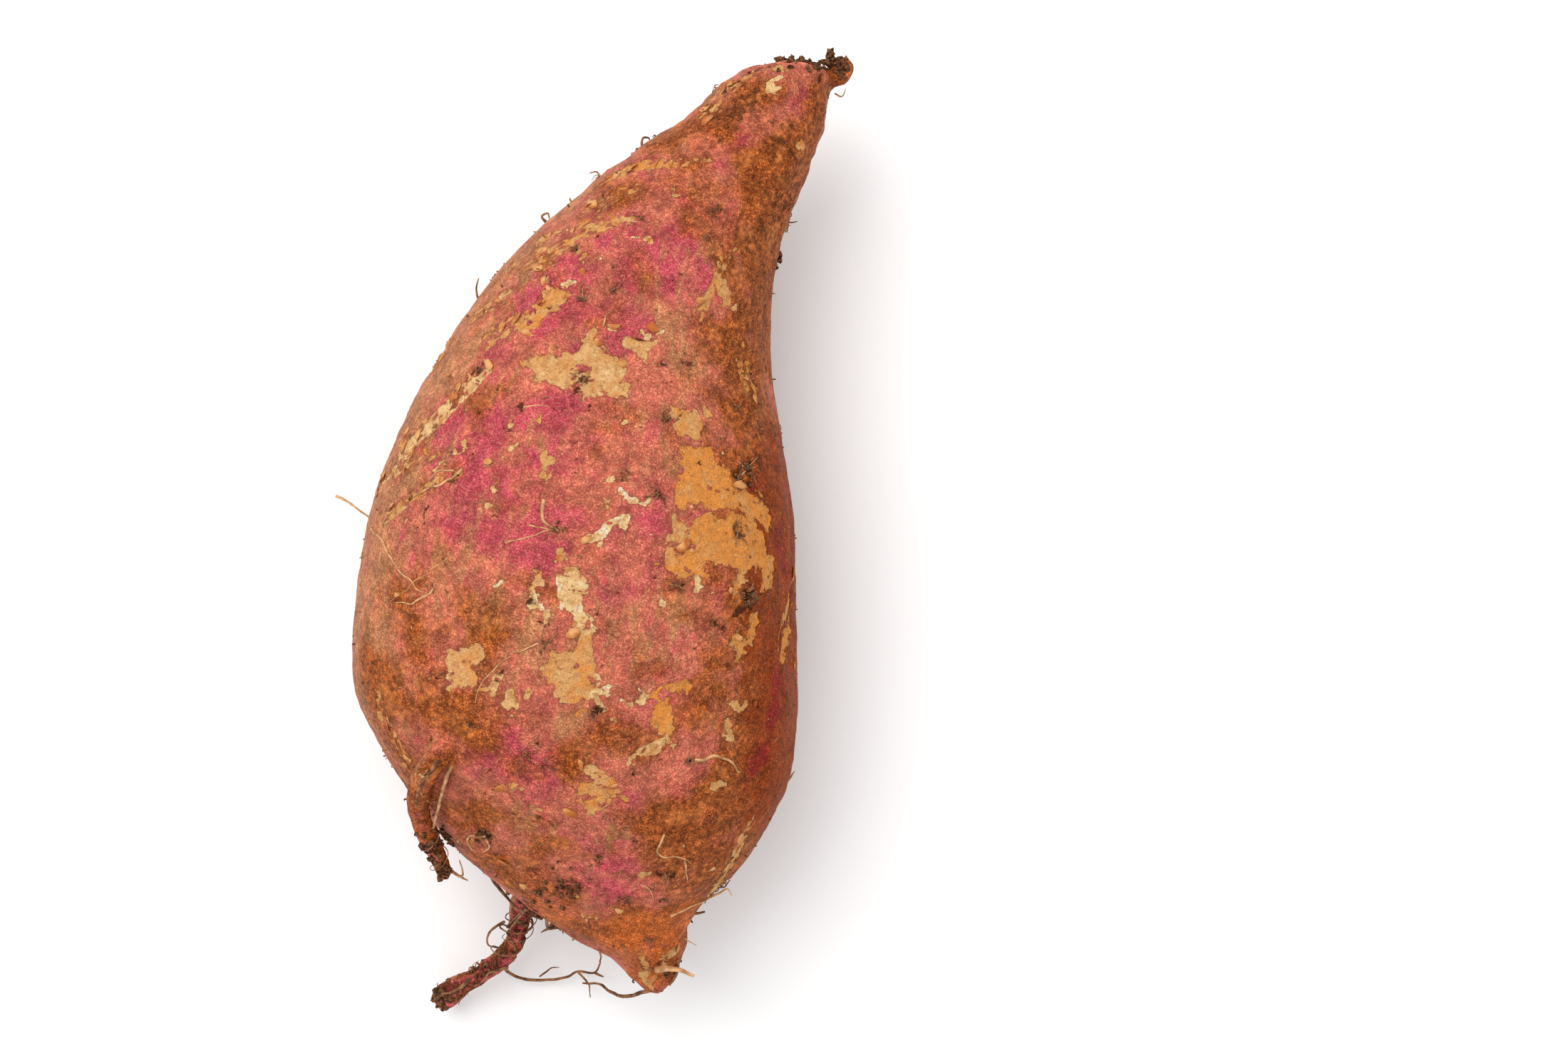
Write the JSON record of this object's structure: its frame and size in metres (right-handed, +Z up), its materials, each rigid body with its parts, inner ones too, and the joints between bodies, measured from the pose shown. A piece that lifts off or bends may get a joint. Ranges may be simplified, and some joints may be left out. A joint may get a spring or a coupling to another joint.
{
  "type": "sweet potato",
  "caption": "Plump red-skinned sweet potato, tapering to a curved neck and a pointed tail, with stout side roots, lying on its belly.",
  "frame": {"origin": "middle of the underside of the bounding box, on the surface that the root lies on", "axes": "+Y from the tail to the crown, +X to the right seen from above, +Z up"},
  "size_m": [0.0894, 0.2026, 0.0763],
  "materials": {
    "skin": "matte, dusty, with tan flaked patches"
  },
  "bodies": {
    "root": {"sweet_potato": "skin"}
  },
  "joints": []
}
